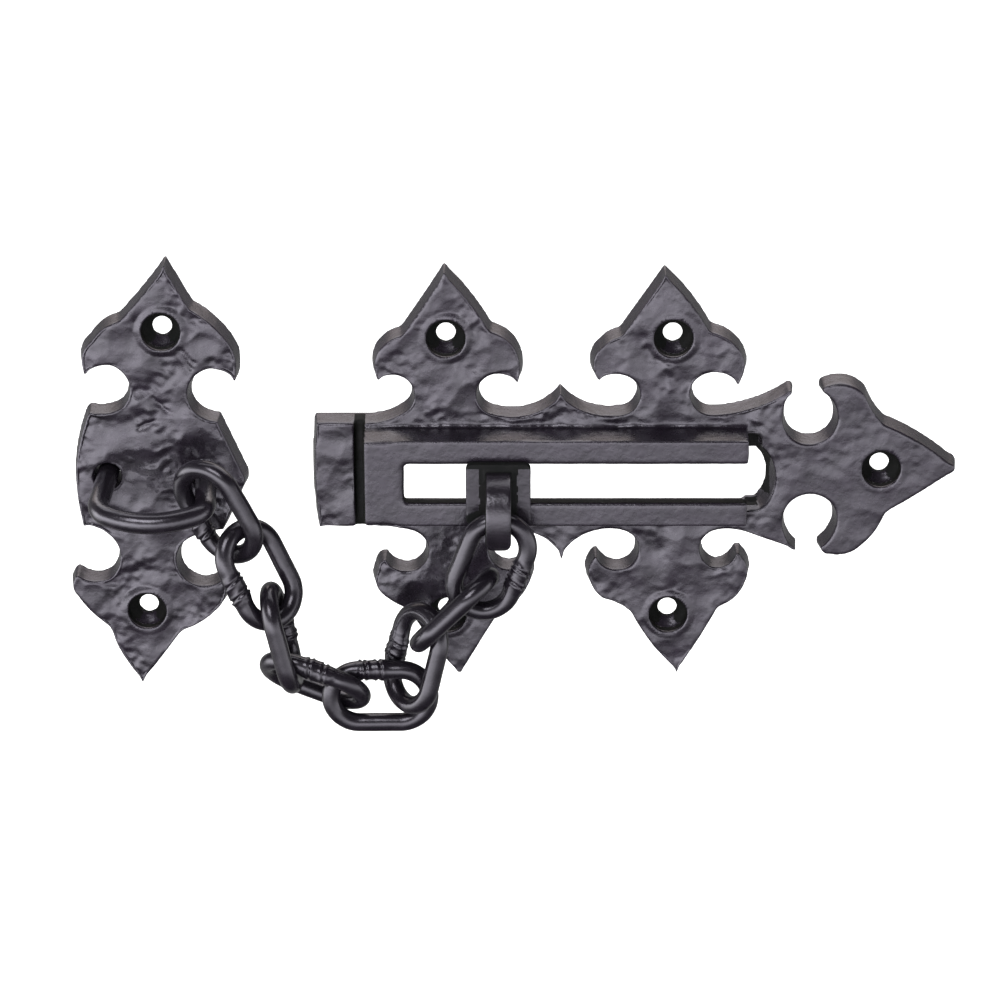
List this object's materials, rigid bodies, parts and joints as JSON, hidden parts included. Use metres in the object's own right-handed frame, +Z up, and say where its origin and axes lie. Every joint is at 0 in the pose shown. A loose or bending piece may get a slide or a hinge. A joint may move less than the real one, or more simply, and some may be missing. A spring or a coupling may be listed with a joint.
{
  "type": "door chain guard",
  "caption": "Cast iron door chain guard: a slider in a slotted channel plate, joined by a short welded chain to a keeper plate with a staple.",
  "frame": {"origin": "on the slide plate's flat back, at the centre of the four screw holes in its fleurs", "axes": "+X along the channel towards the arrow, +Y into the door, +Z up"},
  "size_m": [0.2074, 0.0275, 0.1127],
  "materials": {
    "casting": "black paint, satin, over a hand-hammered surface",
    "slider": "black paint, satin",
    "staple": "black gloss paint on a round steel bar",
    "chain": "black gloss paint on welded steel wire"
  },
  "bodies": {
    "root": {"keeper_plate": "casting", "keeper_staple": "staple", "slide_plate": "casting"},
    "slider": {"slider": "slider"},
    "chain_link_1": {"chain_link_1": "chain"},
    "chain_link_2": {"chain_link_2": "chain"},
    "chain_link_3": {"chain_link_3": "chain"},
    "chain_link_4": {"chain_link_4": "chain"},
    "chain_link_5": {"chain_link_5": "chain"},
    "chain_link_6": {"chain_link_6": "chain"},
    "chain_link_7": {"chain_link_7": "chain"},
    "chain_link_8": {"chain_link_8": "chain"}
  },
  "joints": [
    {"name": "slider_slide", "type": "slide", "parent": "root", "child": "slider", "axis": [1, 0, 0], "range_m": [-0.018, 0.028]},
    {"name": "link_1_swing", "type": "hinge", "parent": "root", "child": "chain_link_1", "pos_m": [-0.0764, -0.0149, 0.0008], "axis": [0, -1, 0], "range_deg": [-7.4, 11.2]},
    {"name": "link_2_swing", "type": "hinge", "parent": "chain_link_1", "child": "chain_link_2", "pos_m": [-0.0685, -0.0164, -0.0114], "axis": [0, -1, 0], "range_deg": [-5.7, 8.6]},
    {"name": "link_3_swing", "type": "hinge", "parent": "chain_link_2", "child": "chain_link_3", "pos_m": [-0.06, -0.0184, -0.0268], "axis": [0, -1, 0], "range_deg": [-5.7, 8.6]},
    {"name": "link_4_swing", "type": "hinge", "parent": "chain_link_3", "child": "chain_link_4", "pos_m": [-0.0637, -0.0161, -0.0461], "axis": [0, -1, 0], "range_deg": [-23.7, 15.4]},
    {"name": "link_5_swing", "type": "hinge", "parent": "chain_link_4", "child": "chain_link_5", "pos_m": [-0.047, -0.0164, -0.0505], "axis": [0, -1, 0], "range_deg": [-10.5, 6.9]},
    {"name": "link_6_swing", "type": "hinge", "parent": "chain_link_5", "child": "chain_link_6", "pos_m": [-0.0358, -0.0168, -0.0506], "axis": [0, -1, 0], "range_deg": [-13.9, 9.1]},
    {"name": "link_7_swing", "type": "hinge", "parent": "chain_link_6", "child": "chain_link_7", "pos_m": [-0.0383, -0.0187, -0.0337], "axis": [0, -1, 0], "range_deg": [-6.5, 9.9]},
    {"name": "link_8_swing", "type": "hinge", "parent": "chain_link_7", "child": "chain_link_8", "pos_m": [-0.008, -0.0202, -0.0229], "axis": [0, -1, 0], "range_deg": [-10.7, 7.1]}
  ],
  "couplings": [
    {"joint": "link_1_swing", "follows": "slider_slide", "rad_per_m": 6.65},
    {"joint": "link_2_swing", "follows": "slider_slide", "rad_per_m": 5.079},
    {"joint": "link_3_swing", "follows": "slider_slide", "rad_per_m": 5.044},
    {"joint": "link_4_swing", "follows": "slider_slide", "rad_per_m": -14.451},
    {"joint": "link_5_swing", "follows": "slider_slide", "rad_per_m": -6.213},
    {"joint": "link_6_swing", "follows": "slider_slide", "rad_per_m": -8.343},
    {"joint": "link_7_swing", "follows": "slider_slide", "rad_per_m": 5.829},
    {"joint": "link_8_swing", "follows": "slider_slide", "rad_per_m": -6.388}
  ]
}
